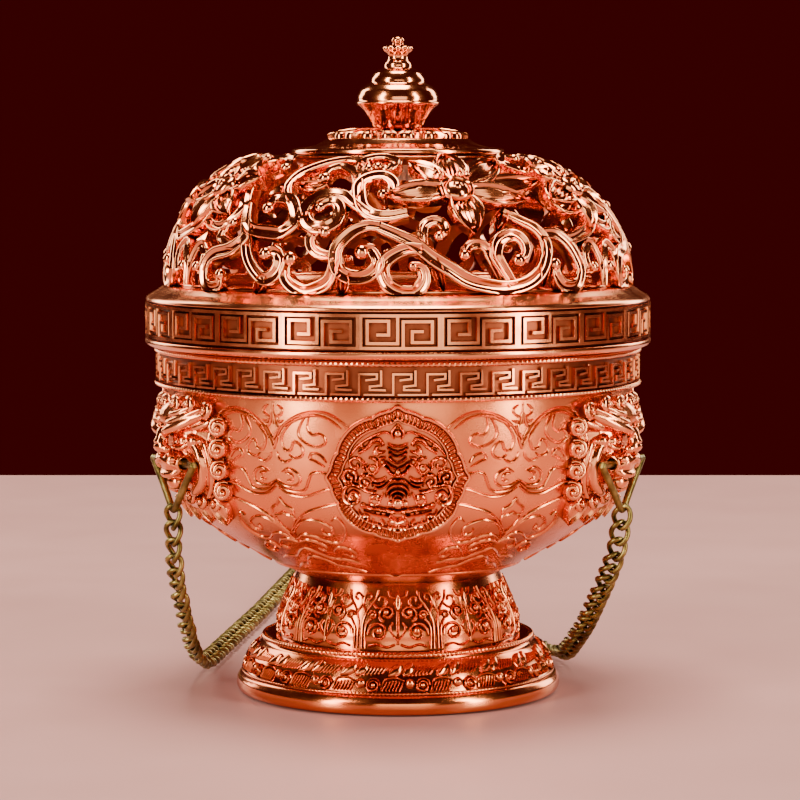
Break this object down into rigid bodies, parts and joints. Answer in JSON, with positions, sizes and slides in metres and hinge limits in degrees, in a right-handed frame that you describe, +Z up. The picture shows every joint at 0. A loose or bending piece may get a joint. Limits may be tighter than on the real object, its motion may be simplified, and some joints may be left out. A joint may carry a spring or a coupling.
{
  "type": "thurible censer",
  "caption": "Small hanging incense burner: footed bowl with lion-mask lugs and wire bails, pierced lift-off dome lid with finial, and slack curb chains.",
  "frame": {"origin": "centre of the face that the foot stands on", "axes": "+Z up the burner's axis, front medallion facing -Y, +X to the right seen from the front"},
  "size_m": [0.098, 0.263, 0.1269],
  "materials": {
    "copper_plate": "polished rose-gold plating with darker recesses",
    "pan_copper": "satin, heat-stained",
    "antique_brass": "antique brass, worn on the high spots",
    "fastener_steel": "zinc-plated"
  },
  "bodies": {
    "root": {"foot": "copper_plate", "pedestal": "copper_plate", "bowl": "copper_plate", "key_band": "copper_plate", "tie_screw": "fastener_steel", "tie_washer": "fastener_steel", "tie_nut": "fastener_steel", "medallion_front": "copper_plate", "medallion_right": "copper_plate", "medallion_left": "copper_plate", "medallion_rivets": "fastener_steel", "mask_left": "copper_plate", "mask_right": "copper_plate", "mask_back": "copper_plate", "mask_screws": "fastener_steel", "chain_left": "antique_brass", "chain_right": "antique_brass", "chain_back": "antique_brass", "jump_rings": "antique_brass", "hanging_ring": "antique_brass"},
    "lid": {"lid_rim": "copper_plate", "lid_dome": "copper_plate", "lid_crown": "copper_plate", "finial": "copper_plate", "finial_screw": "fastener_steel", "finial_washer": "fastener_steel"},
    "pan": {"ember_pan": "pan_copper"},
    "bail_left": {"bail_left": "antique_brass"},
    "bail_right": {"bail_right": "antique_brass"},
    "bail_back": {"bail_back": "antique_brass"}
  },
  "joints": [
    {"name": "lid_lift", "type": "slide", "parent": "root", "child": "lid", "axis": [0, 0, 1], "range_m": [0, 0.06]},
    {"name": "pan_lift", "type": "slide", "parent": "root", "child": "pan", "axis": [0, 0, 1], "range_m": [0, 0.034]},
    {"name": "bail_left_swing", "type": "hinge", "parent": "root", "child": "bail_left", "pos_m": [-0.04192, -0.0242, 0.047], "axis": [-0.5, 0.866, 0], "range_deg": [-8, 140]},
    {"name": "bail_right_swing", "type": "hinge", "parent": "root", "child": "bail_right", "pos_m": [0.04192, -0.0242, 0.047], "axis": [-0.5, -0.866, 0], "range_deg": [-8, 140]},
    {"name": "bail_back_swing", "type": "hinge", "parent": "root", "child": "bail_back", "pos_m": [0, 0.0484, 0.047], "axis": [1, 0, 0], "range_deg": [-8, 140]}
  ]
}
